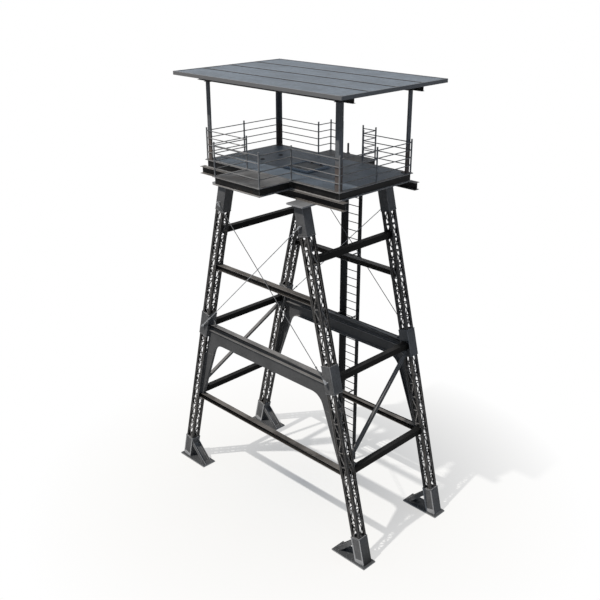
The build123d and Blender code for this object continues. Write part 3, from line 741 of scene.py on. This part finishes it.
# the frame's own shapes with pale edges of worn paint and painted highlight: paint, softened
# edge, width of the pale edge line
dressed = {
    "leg_head": ("casing_steel", 0.003, 0.022),
    "leg_sleeve": ("casing_steel", 0.003, 0.022),
    "leg": ("lattice_steel", 0.0015, 0.014),
    "foot": ("casing_steel", 0.003, 0.022),
    "knee": ("panel_steel", 0.002, 0.018),
    "portal_girder": ("panel_steel", 0.002, 0.018),
    "upper_beam": ("beam_steel", 0.002, 0.016),
    "lower_beam": ("beam_steel", 0.002, 0.016),
    "bearer": ("beam_steel", 0.002, 0.016),
    "side_strut": ("strut_steel", 0.004, 0.02),
    "side_brace": ("panel_steel", 0.002, 0.014),
    "deck_frame": ("deck_steel", 0.002, 0.018),
    "balcony": ("deck_steel", 0.002, 0.018),
    "deck_floor": ("floor_plate", 0.001, 0.01),
    "hatch_curb": ("floor_plate", 0.002, 0.03),
    "hatch_cover": ("floor_plate", 0.002, 0.01),
    "roof_column": ("column_steel", 0.002, 0.016),
    "roof_beams": ("beam_steel", 0.002, 0.016),
    "roof_rim": ("roof_paint", 0.002, 0.018),
    "roof_sheets": ("roof_paint", 0.0015, 0.02),
    "ladder_arms": ("ladder_steel", 0.001, 0.012),
    "cable_duct": ("ladder_steel", 0.002, 0.012),
}
piercedWearAndHighlight = {"leg": 0.75, "foot": 0.0}
# heights below which these pieces stay dark
darkBelow = {"upper_beam": 8.43, "lower_beam": 3.0, "foot": 0.06, "hatch_cover": 12.1}

dressedCount = 0
for node in sorted(nodes):
    kinds = [prefix for prefix in dressed if node.startswith(prefix)]
    if not kinds:
        continue
    kind = max(kinds, key=len)
    paint, edgeWidth, wearAndHighlightWidth = dressed[kind]
    mesh = mergedCopy(node)
    softenEdges(mesh, edgeWidth)
    markWearAndHighlight(mesh, wearAndHighlightWidth, piercedWearAndHighlight.get(kind))
    if kind in darkBelow:
        markLow(mesh, darkBelow[kind])
    if kind == "leg":
        markInnerShade(mesh)
    addPiece(mesh, node + "_steel", paint, [node])
    dressedCount += 1
print("frame pieces dressed:", dressedCount)


def onLeg(x, y, z, extra=0.0):
    # a place beside the front right leg's centre line at height z, turned as the leg is
    foot = Matrix.Translation((leg["footX"], -leg["y"], 0)) @ Matrix.Rotation(-lean, 4, "Y")
    return foot @ Matrix.Translation((x, y, z / cos(lean) + extra))


toFront = Matrix.Rotation(radians(90), 4, "X")
toBack = Matrix.Rotation(radians(-90), 4, "X")
toRight = Matrix.Rotation(radians(90), 4, "Y")
toLeft = Matrix.Rotation(radians(-90), 4, "Y")

# bands at the ends of the casings
bands = {
    "edges": (  # height of the casing's end, casing wall, whether the casing is above it
        (10.530, 0.012, True),
        (6.600, 0.020, False),
        (5.700, 0.020, True),
        (0.940, 0.020, False),
    ),
    "height": 0.028,
    "proud": 0.005,
    "past": 0.003,  # how far a band reaches past the casing's end
    "soft": 0.0015,
    "wearAndHighlight": 0.006,
}
bandMesh = bmesh.new()
for edgeZ, wall, above in bands["edges"]:
    ringMesh = bmesh.new()
    outer = leg["half"] + wall + bands["proud"]
    bmesh.ops.create_grid(ringMesh, x_segments=1, y_segments=1, size=outer)
    opening = ringMesh.faces[:]
    bmesh.ops.inset_region(
        ringMesh, faces=opening, thickness=2 * bands["proud"], depth=0,
        use_even_offset=True, use_boundary=True,
    )
    bmesh.ops.delete(ringMesh, geom=opening, context="FACES")
    risen = bmesh.ops.extrude_face_region(ringMesh, geom=ringMesh.faces[:])
    lifted = [item for item in risen["geom"] if isinstance(item, bmesh.types.BMVert)]
    bmesh.ops.translate(ringMesh, verts=lifted, vec=(0, 0, bands["height"]))
    bmesh.ops.recalc_face_normals(ringMesh, faces=ringMesh.faces)
    softenEdges(ringMesh, bands["soft"])
    ring = meshData(ringMesh, "band")
    below = bands["past"] if above else bands["height"] - bands["past"]
    stamp(bandMesh, ring, onLeg(0, 0, edgeZ, -below))
    bpy.data.meshes.remove(ring)
bandMesh = fourCorners(bandMesh)
markWearAndHighlight(bandMesh, bands["wearAndHighlight"])
addPiece(bandMesh, "casing_bands", "casing_steel")

# hexagon bolts on the casings and on the end plates of beams and struts
bolts = {
    "casing": 0.013,
    "plate": 0.017,
    "stud": 0.012,
    "rows": ((10.530, 0.012, 0.070), (6.600, 0.020, -0.060), (5.700, 0.020, 0.060)),
    "across": (-0.115, 0.0, 0.115),
    "beams": ((8.560, 0.185, (-1, 1)), (3.110, 0.170, (-1,))),  # top, depth, above and below
    "beamPlate": 0.012,
    "beamGap": 0.03,
    "struts": ((9.790, 0.182), (6.085, 0.202), (3.095, 0.182)),  # middle, face of the end plate
    "strutSpread": 0.13,
}
boltMesh = bmesh.new()
small = fastenerTemplate("smallBolt", bolts["casing"])
large = fastenerTemplate("largeBolt", bolts["plate"], bolts["stud"])
for edgeZ, wall, rise in bolts["rows"]:
    face = leg["half"] + wall
    for across in bolts["across"]:
        stamp(boltMesh, small, onLeg(across, -face, edgeZ, rise) @ toFront)
        stamp(boltMesh, small, onLeg(face, across, edgeZ, rise) @ toRight)
for topZ, depth, sides in bolts["beams"]:
    inner = leg["half"] + bolts["beamPlate"]
    for side in sides:
        rise = leg["half"] * tan(lean) + side * (depth / 2 + bolts["beamGap"])
        for across in bolts["across"]:
            stamp(boltMesh, large, onLeg(-inner, across, topZ - depth / 2, rise) @ toLeft)
for strutZ, face in bolts["struts"]:
    for acrossX in (-bolts["strutSpread"], bolts["strutSpread"]):
        for rise in (-bolts["strutSpread"], bolts["strutSpread"]):
            stamp(boltMesh, large, onLeg(acrossX, face, strutZ, rise) @ toBack)
bpy.data.meshes.remove(small)
bpy.data.meshes.remove(large)
addPiece(fourCorners(boltMesh), "frame_bolts", "casing_steel")

anchors = {
    "nut": 0.021,
    "stud": 0.045,
    "top": 0.047,
    "middleY": 1.8845,
    "places": (  # x, and how far they lie on both sides of middleY
        (3.500, 0.2055), (4.700, 0.2055), (3.620, 0.2055),
        (3.980, 0.2055), (4.235, 0.228), (4.610, 0.228),
    ),
}
anchorMesh = bmesh.new()
anchor = fastenerTemplate("anchor", anchors["nut"], anchors["stud"])
for anchorX, across in anchors["places"]:
    for anchorY in (-anchors["middleY"] - across, -anchors["middleY"] + across):
        stamp(anchorMesh, anchor, Matrix.Translation((anchorX, anchorY, anchors["top"])))
bpy.data.meshes.remove(anchor)
addPiece(fourCorners(anchorMesh), "anchor_nuts", "casing_steel")
print("bands, bolts and anchors placed")

railing = {
    "post": 0.040,
    "height": 1.050,
    "rail": 0.015,
    "levels": (0.240, 0.475, 0.710, 0.945),
    "base": (0.090, 0.090, 0.008),
    "cap": (0.046, 0.046, 0.006),
    "capOver": 0.004,  # of the cap, above the end of the post
    "postSoft": 0.004,
    "nut": 0.0075,
    "stud": 0.006,
    "nutSpread": 0.034,
    "collar": (0.012, 0.02025, 0.0165),  # length, radius at the post, radius at the rail
    "wearAndHighlight": 0.008,
}
endX, sideY = 2.9495, 1.617  # corner posts
bayX, frontY, backY, gapX = 0.997, 2.917, 2.227, 0.450  # balcony posts
railPlans = {
    "railing_end_right": {
        "posts": ((endX, -sideY), (endX, 0), (endX, sideY)),
        "runs": (((endX, -sideY), (endX, 0)), ((endX, 0), (endX, sideY))),
    },
    "railing_front": {
        "posts": ((bayX, -sideY), (-bayX, -sideY)),
        "runs": (((bayX, -sideY), (endX, -sideY)), ((-bayX, -sideY), (-endX, -sideY))),
    },
    "railing_balcony_front": {
        "posts": ((bayX, -frontY), (-bayX, -frontY)),
        "runs": (
            ((bayX, -sideY), (bayX, -frontY)),
            ((-bayX, -sideY), (-bayX, -frontY)),
            ((-bayX, -frontY), (bayX, -frontY)),
        ),
    },
    "railing_balcony_back": {
        "posts": ((bayX, backY), (-bayX, backY), (gapX, backY), (-gapX, backY)),
        "runs": (
            ((bayX, sideY), (bayX, backY)),
            ((-bayX, sideY), (-bayX, backY)),
            ((gapX, backY), (bayX, backY)),
            ((-gapX, backY), (-bayX, backY)),
        ),
    },
}


def turnedPlan(plan, signX, signY):
    return {
        "posts": [(x * signX, y * signY) for x, y in plan["posts"]],
        "runs": [[(x * signX, y * signY) for x, y in run] for run in plan["runs"]],
    }


railPlans["railing_end_left"] = turnedPlan(railPlans["railing_end_right"], -1, 1)
railPlans["railing_back"] = turnedPlan(railPlans["railing_front"], 1, -1)

postBolt = fastenerTemplate("postBolt", railing["nut"], railing["stud"])
postSize = (railing["post"], railing["post"], railing["height"] - railing["capOver"])
capZ = deckTop + railing["height"] - railing["cap"][2]
nutSides = (-railing["nutSpread"], railing["nutSpread"])
for node, plan in railPlans.items():
    mesh = bmesh.new()
    for x, y in plan["posts"]:
        block(mesh, postSize, x, y, deckTop, railing["postSoft"])
        block(mesh, railing["cap"], x, y, capZ)
        block(mesh, railing["base"], x, y, deckTop)
    markWearAndHighlight(mesh, railing["wearAndHighlight"])
    for x, y in plan["posts"]:
        for nutX in nutSides:
            for nutY in nutSides:
                place = (x + nutX, y + nutY, deckTop + railing["base"][2])
                stamp(mesh, postBolt, Matrix.Translation(place))
    for corners in plan["runs"]:
        first, last = (Vector((*corner, deckTop)) for corner in corners)
        along = (last - first).normalized()
        toFace = along * (railing["post"] / 2)
        for level in railing["levels"]:
            lift = Vector((0, 0, level))
            start, end = first + toFace + lift, last - toFace + lift
            bar(mesh, start, end, railing["rail"])
            collar(mesh, start, along, railing["collar"])
            collar(mesh, end, -along, railing["collar"])
    addPiece(mesh, node + "_rods", "rail_steel", [node])
bpy.data.meshes.remove(postBolt)
print("railings built:", len(railPlans))

ladder = {
    "half": 0.360,
    "y": 2.360,
    "tube": 0.100,
    "tubeSoft": 0.008,
    "post": 0.050,
    "postSoft": 0.004,
    "rise": 0.320,
    "pitch": 0.300,
    "rungs": 39,
    "rung": 0.015,
    "collar": (0.012, 0.021, 0.016),
    "wearAndHighlight": 0.012,
}
ladderMesh = bmesh.new()
tubeSize = (ladder["tube"], ladder["tube"], deckTop)
stubSize = (ladder["post"], ladder["post"], ladder["rise"])
stubY = ladder["y"] + (ladder["tube"] - ladder["post"]) / 2
for side in (-1, 1):
    tubeX = side * (ladder["half"] - ladder["tube"] / 2)
    stubX = side * (ladder["half"] - ladder["post"] / 2)
    block(ladderMesh, tubeSize, tubeX, ladder["y"], 0.0, ladder["tubeSoft"])
    block(ladderMesh, stubSize, stubX, stubY, deckTop, ladder["postSoft"])
markWearAndHighlight(ladderMesh, ladder["wearAndHighlight"])
rungReach = Vector((ladder["half"] - ladder["tube"], 0, 0))
for index in range(ladder["rungs"]):
    middle = Vector((0, ladder["y"], ladder["pitch"] * (index + 1)))
    bar(ladderMesh, middle - rungReach, middle + rungReach, ladder["rung"])
    for side in (-1, 1):
        collar(ladderMesh, middle + side * rungReach, Vector((-side, 0, 0)), ladder["collar"])
addPiece(ladderMesh, "ladder_rungs", "ladder_steel", ["ladder"])

duct = {
    "x": -0.445,
    "y": 2.345,
    "strap": (0.176, 0.076, 0.030),
    "first": 0.585,
    "pitch": 1.5,
    "straps": 8,
    "wearAndHighlight": 0.006,
}
strapMesh = bmesh.new()
for index in range(duct["straps"]):
    strapZ = duct["first"] + index * duct["pitch"]
    block(strapMesh, duct["strap"], duct["x"], duct["y"], strapZ)
markWearAndHighlight(strapMesh, duct["wearAndHighlight"])
addPiece(strapMesh, "duct_straps", "ladder_steel")
print("ladder built")

rods = {
    "radius": 0.013,
    "short": 0.08,  # from the pin to the end of the rod
    "high": (1.859, 10.845),  # x and z of the pins
    "low": (3.028, 6.100),
    "lines": ((1, 2.130, 1.0), (-1, 2.170, 0.0)),  # high side, how far out, how strong the pale edge mark of worn paint and painted highlight is
    "fittings": (  # from and to before the low pin, radius, sides
        (0.58, 0.12, 0.019, 12),  # threaded stretch
        (0.61, 0.56, 0.029, 6),  # nut at its start
        (0.19, 0.15, 0.031, 6),  # nut at the fork
    ),
}
forks = {
    "length": 0.150,
    "width": 0.070,
    "thickness": 0.044,
    "cheek": 0.013,
    "rounding": 0.0322,
    "socket": (0.045, 0.024, 0.019),  # length past the cheeks, radius at both ends
    "pin": 0.021,
    "pinSides": 14,
    "pinInner": 2.062,  # where the pin ends inside the casing
    "pinOuter": 0.010,  # how far it stands out of the fork
    "head": (0.008, 0.02835, 0.02415),
}


def fork(mesh, pinAt, towards, sideY):
    # two rounded cheeks on a round socket, with the pin through them and into the casing
    length, width, cheek = forks["length"], forks["width"], forks["cheek"]
    outward = Vector((0, 1, 0))
    along = (towards - pinAt).normalized()
    turned = Matrix((along, outward, along.cross(outward))).transposed().to_4x4()
    shape = turned @ Matrix.Diagonal((length, cheek, width, 1))
    for side in (-1, 1):
        offset = outward * (side * (forks["thickness"] - cheek) / 2)
        middle = pinAt + along * (length / 2 - width / 2) + offset
        made = bmesh.ops.create_cube(mesh, size=1, matrix=Matrix.Translation(middle) @ shape)
        corners = [
            edge for edge in edgesOf(made["verts"])
            if abs((edge.verts[0].co - edge.verts[1].co).normalized().y) > 0.9
        ]
        bevelEdges(mesh, corners, forks["rounding"], 4)
    past, wide, narrow = forks["socket"]
    socketEnd = pinAt + along * (length - width / 2 + past)
    bar(mesh, pinAt + along * (width / 2), socketEnd, wide, 12, narrow)
    headLength, headInner, headOuter = forks["head"]
    outY = pinAt.y + sideY * (forks["thickness"] / 2 + forks["pinOuter"])
    pinInner, pinOuter, headEnd = (
        Vector((pinAt.x, y, pinAt.z))
        for y in (sideY * forks["pinInner"], outY, outY + sideY * headLength)
    )
    bar(mesh, pinInner, pinOuter, forks["pin"], forks["pinSides"])
    bar(mesh, pinOuter, headEnd, headInner, forks["pinSides"], headOuter)


def wearAndHighlightAdded(mesh, oldVerts, value):
    layer = mesh.verts.layers.float["wearAndHighlight"]
    for vertex in mesh.verts:
        if vertex not in oldVerts:
            vertex[layer] = value


for node, sideY in (("tie_rods_front", -1), ("tie_rods_back", 1)):
    mesh = bmesh.new()
    mesh.verts.layers.float.new("wearAndHighlight")
    for highSide, away, rubbedAndHighlit in rods["lines"]:
        (highX, highZ), (lowX, lowZ) = rods["high"], rods["low"]
        high = Vector((highSide * highX, sideY * away, highZ))
        low = Vector((-highSide * lowX, sideY * away, lowZ))
        along = (low - high).normalized()
        oldVerts = set(mesh.verts)
        bar(mesh, high + along * rods["short"], low - along * rods["short"], rods["radius"])
        for start, end, radius, sides in rods["fittings"]:
            bar(mesh, low - along * start, low - along * end, radius, sides)
        wearAndHighlightAdded(mesh, oldVerts, rubbedAndHighlit)
        oldVerts = set(mesh.verts)
        fork(mesh, high, low, sideY)
        fork(mesh, low, high, sideY)
        wearAndHighlightAdded(mesh, oldVerts, 1.0)
    bmesh.ops.recalc_face_normals(mesh, faces=mesh.faces)
    addPiece(mesh, node + "_forked", "rod_steel", [node])
print("tie rods built")

hatch = {
    "top": 12.033,
    "hinges": (-0.02, 0.38),  # x of each
    "knuckle": (0.100, 0.011, 0.318),  # length, radius, y
    "leaf": (0.09, 0.07, 0.006),
    "leafY": 0.272,
    "leafSoft": 0.001,
    "handle": (0.18, -0.50),
    "handleHalf": 0.07,
    "handleRise": 0.035,
    "handleRod": 0.007,
}
hatchMesh = bmesh.new()
knuckle, knuckleR, knuckleY = hatch["knuckle"]
for hingeX in hatch["hinges"]:
    ends = [(hingeX + way * knuckle / 2, knuckleY, hatch["top"] + knuckleR) for way in (-1, 1)]
    bar(hatchMesh, *ends, knuckleR)
    block(hatchMesh, hatch["leaf"], hingeX, hatch["leafY"], hatch["top"], hatch["leafSoft"])
handle = Vector((*hatch["handle"], hatch["top"]))
rise = Vector((0, 0, hatch["handleRise"]))
reach = Vector((hatch["handleHalf"], 0, 0))
for side in (-1, 1):
    upright = handle + side * reach
    bar(hatchMesh, upright, upright + rise, hatch["handleRod"])
reach.x += hatch["handleRod"]
bar(hatchMesh, handle + rise - reach, handle + rise + reach, hatch["handleRod"])
addPiece(hatchMesh, "hatch_fittings", "ladder_steel")

# two low round sockets in the deck
sockets = {
    "places": ((-1.67, 0.49), (-1.67, -0.34)),
    "steps": (  # from and to above the deck, with the radius at each
        (0.0, 0.008, 0.0825, 0.0781),
        (0.008, 0.022, 0.055, 0.04675),
    ),
    "sides": 18,
}
socketMesh = bmesh.new()
for x, y in sockets["places"]:
    for start, end, wide, narrow in sockets["steps"]:
        bottom, top = (x, y, deckTop + start), (x, y, deckTop + end)
        bar(socketMesh, bottom, top, wide, sockets["sides"], narrow)
addPiece(socketMesh, "deck_sockets", "ladder_steel")

# low cover strips over the seams of the roof, dark all over
seamStrips = {"places": (-1.166, 0.0, 1.166), "size": (7.12, 0.055, 0.0095), "bottom": 14.826}
stripMesh = bmesh.new()
for y in seamStrips["places"]:
    block(stripMesh, seamStrips["size"], 0.0, y, seamStrips["bottom"])
markLow(stripMesh, seamStrips["bottom"] + 1.0)
addPiece(stripMesh, "roof_seam_strips", "beam_steel")

# base plates of the roof columns
shoes = {
    "x": 2.827,
    "y": 1.523,
    "plate": (0.200, 0.190, 0.014),
    "soft": 0.002,
    "nut": 0.012,
    "stud": 0.010,
    "inset": 0.024,
}
shoeMesh = bmesh.new()
block(shoeMesh, shoes["plate"], shoes["x"], -shoes["y"], deckTop, shoes["soft"])
shoeNut = fastenerTemplate("shoeNut", shoes["nut"], shoes["stud"])
nutX = shoes["x"] - shoes["plate"][0] / 2 + shoes["inset"]
for side in (-1, 1):
    nutY = -shoes["y"] + side * (shoes["plate"][1] / 2 - shoes["inset"])
    place = (nutX, nutY, deckTop + shoes["plate"][2])
    stamp(shoeMesh, shoeNut, Matrix.Translation(place))
bpy.data.meshes.remove(shoeNut)
addPiece(fourCorners(shoeMesh), "column_shoes", "column_steel")
print("deck fittings placed")

faceCount = sum(len(thing.data.polygons) for thing in scene.objects if thing.type == "MESH")
print("faces in the scene:", faceCount)
